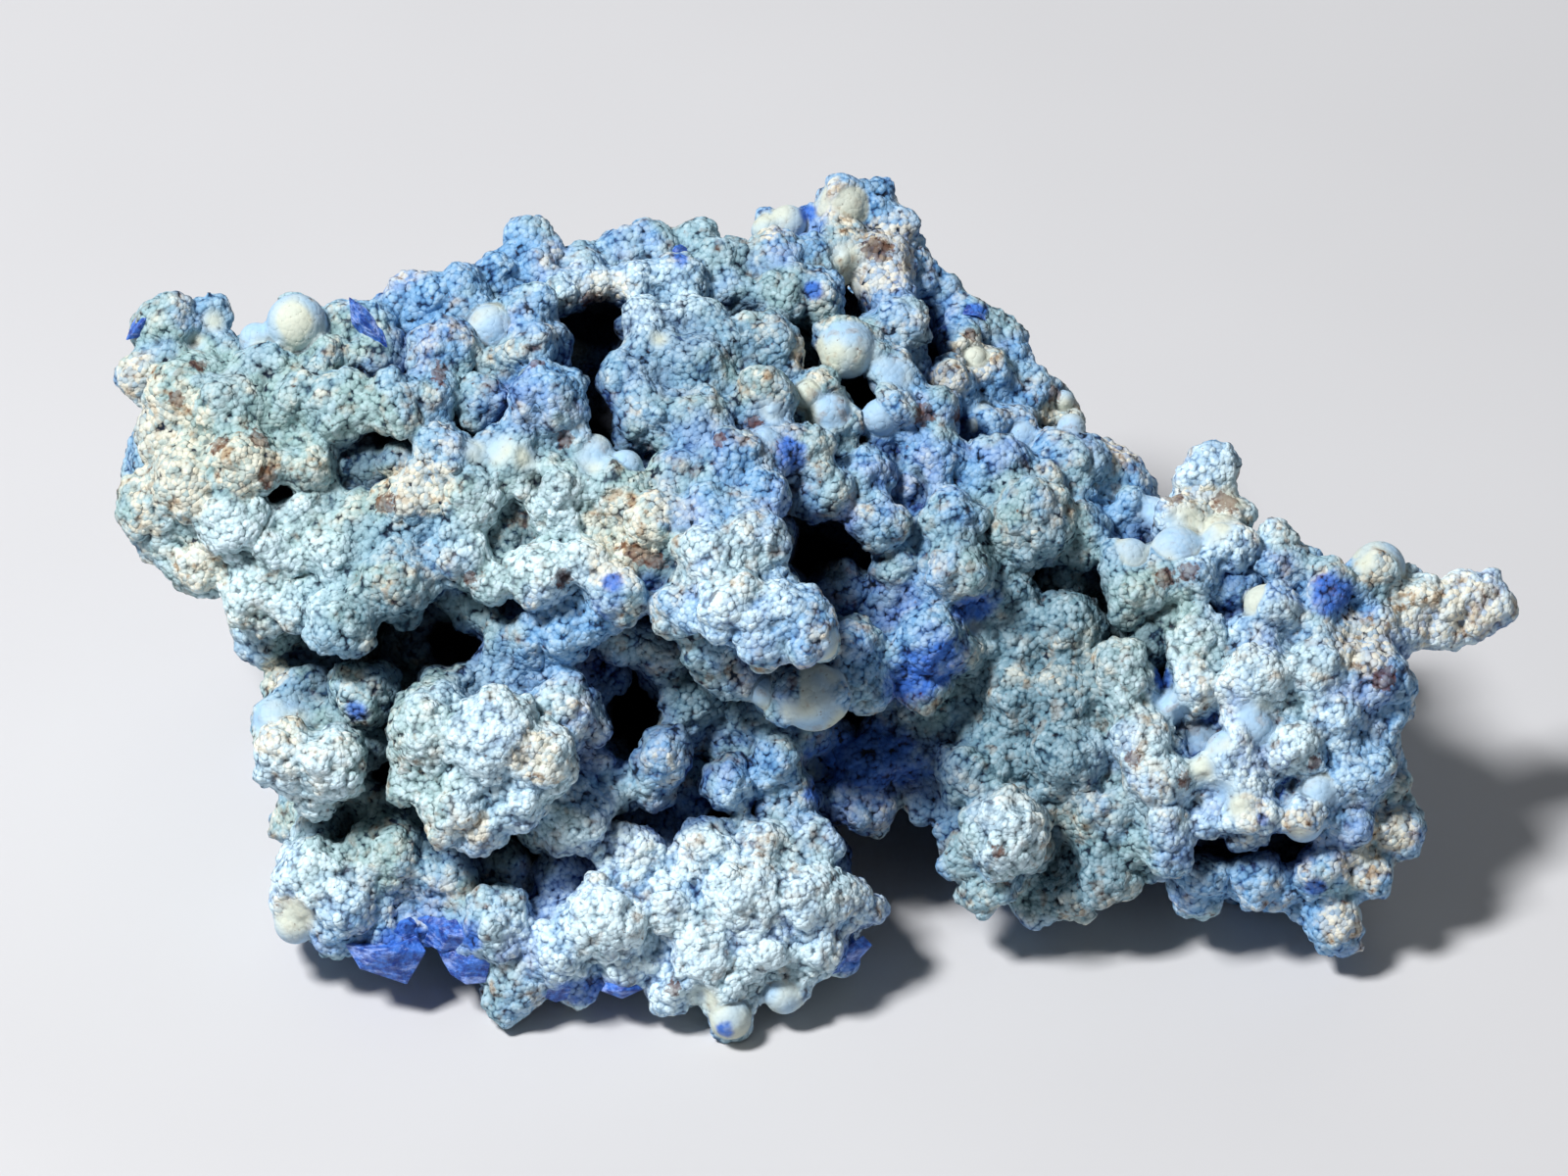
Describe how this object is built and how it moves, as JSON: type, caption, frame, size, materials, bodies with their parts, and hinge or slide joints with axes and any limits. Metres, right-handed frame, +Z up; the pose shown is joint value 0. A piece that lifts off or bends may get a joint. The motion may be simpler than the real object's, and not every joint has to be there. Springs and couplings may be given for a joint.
{
  "type": "mineral specimen",
  "caption": "Rough lump of shattuckite with a pale blue crust of fused round knobs, dark hollows, broken deep blue edges and a side spike, resting on its flat broken base.",
  "frame": {"origin": "middle of the bounding box's bottom, on the plane of the flat broken base", "axes": "+X along the lump's length towards the spike, +Z up out of the base, and the crusted face looks towards -Y and up"},
  "size_m": [0.0709, 0.0414, 0.0283],
  "materials": {
    "crust": "dull granular mineral crust, pale sky blue with cream and rust stains and deep blue broken faces"
  },
  "bodies": {
    "root": {"shattuckite": "crust"}
  },
  "joints": []
}
